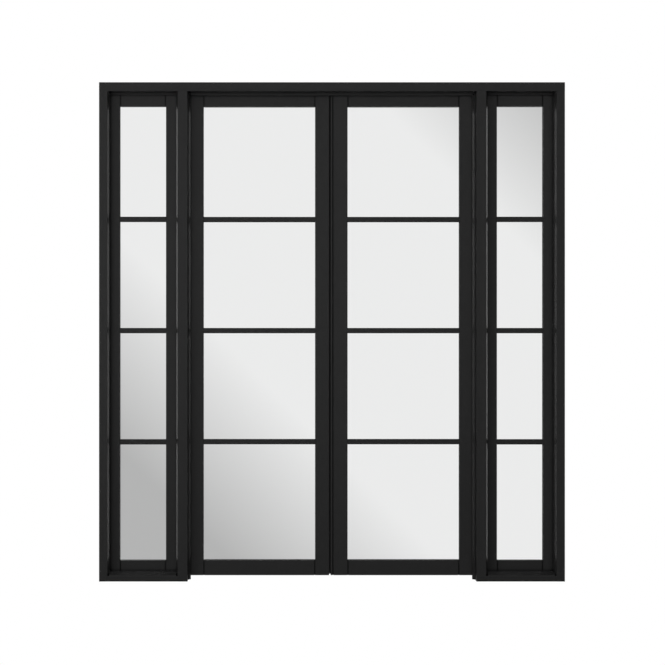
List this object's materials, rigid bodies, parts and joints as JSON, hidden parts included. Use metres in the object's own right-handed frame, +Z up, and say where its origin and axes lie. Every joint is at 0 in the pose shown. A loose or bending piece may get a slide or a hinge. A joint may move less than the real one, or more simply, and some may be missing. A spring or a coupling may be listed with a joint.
{
  "type": "glazed room divider with a pair of doors and sidelights",
  "caption": "Black timber room divider with a pair of glazed, barred doors between narrow fixed sidelights in one slim frame.",
  "frame": {"origin": "on the wall face of the left jamb, at floor level and at the middle of the frame's depth", "axes": "+X along the divider to the right, +Y away from the viewer to the side the doors open to, +Z up"},
  "size_m": [1.895, 0.145, 2.031],
  "materials": {
    "black_paint": "satin black paint on timber",
    "clear_glass": "clear float glass",
    "hinge_steel": "satin stainless steel"
  },
  "bodies": {
    "frame": {"head": "black_paint", "door_head_stop": "black_paint", "left_outer_jamb": "black_paint", "left_mullion": "black_paint", "left_sill": "black_paint", "left_door_stop": "black_paint", "left_sidelight_outer_stile": "black_paint", "left_sidelight_inner_stile": "black_paint", "left_sidelight_top_rail": "black_paint", "left_sidelight_bottom_rail": "black_paint", "left_sidelight_glass": "clear_glass", "left_sidelight_bars": "black_paint", "left_sidelight_front_strips": "black_paint", "left_sidelight_back_beads": "black_paint", "left_hinge_mullion_plates": "hinge_steel", "left_hinge_pins": "hinge_steel", "right_outer_jamb": "black_paint", "right_mullion": "black_paint", "right_sill": "black_paint", "right_door_stop": "black_paint", "right_sidelight_outer_stile": "black_paint", "right_sidelight_inner_stile": "black_paint", "right_sidelight_top_rail": "black_paint", "right_sidelight_bottom_rail": "black_paint", "right_sidelight_glass": "clear_glass", "right_sidelight_bars": "black_paint", "right_sidelight_front_strips": "black_paint", "right_sidelight_back_beads": "black_paint", "right_hinge_mullion_plates": "hinge_steel", "right_hinge_pins": "hinge_steel"},
    "left_door": {"left_door_hinge_stile": "black_paint", "left_door_meeting_stile": "black_paint", "left_door_top_rail": "black_paint", "left_door_bottom_rail": "black_paint", "left_door_glass": "clear_glass", "left_door_bars": "black_paint", "left_hinge_door_plates": "hinge_steel"},
    "right_door": {"right_door_hinge_stile": "black_paint", "right_door_meeting_stile": "black_paint", "right_door_top_rail": "black_paint", "right_door_bottom_rail": "black_paint", "right_door_glass": "clear_glass", "right_door_bars": "black_paint", "right_hinge_door_plates": "hinge_steel"}
  },
  "joints": [
    {"name": "left_door_swing", "type": "hinge", "parent": "frame", "child": "left_door", "pos_m": [0.362, 0.073, 0], "axis": [0, 0, 1], "range_deg": [0, 170]},
    {"name": "right_door_swing", "type": "hinge", "parent": "frame", "child": "right_door", "pos_m": [1.533, 0.073, 0], "axis": [0, 0, -1], "range_deg": [0, 170]}
  ]
}
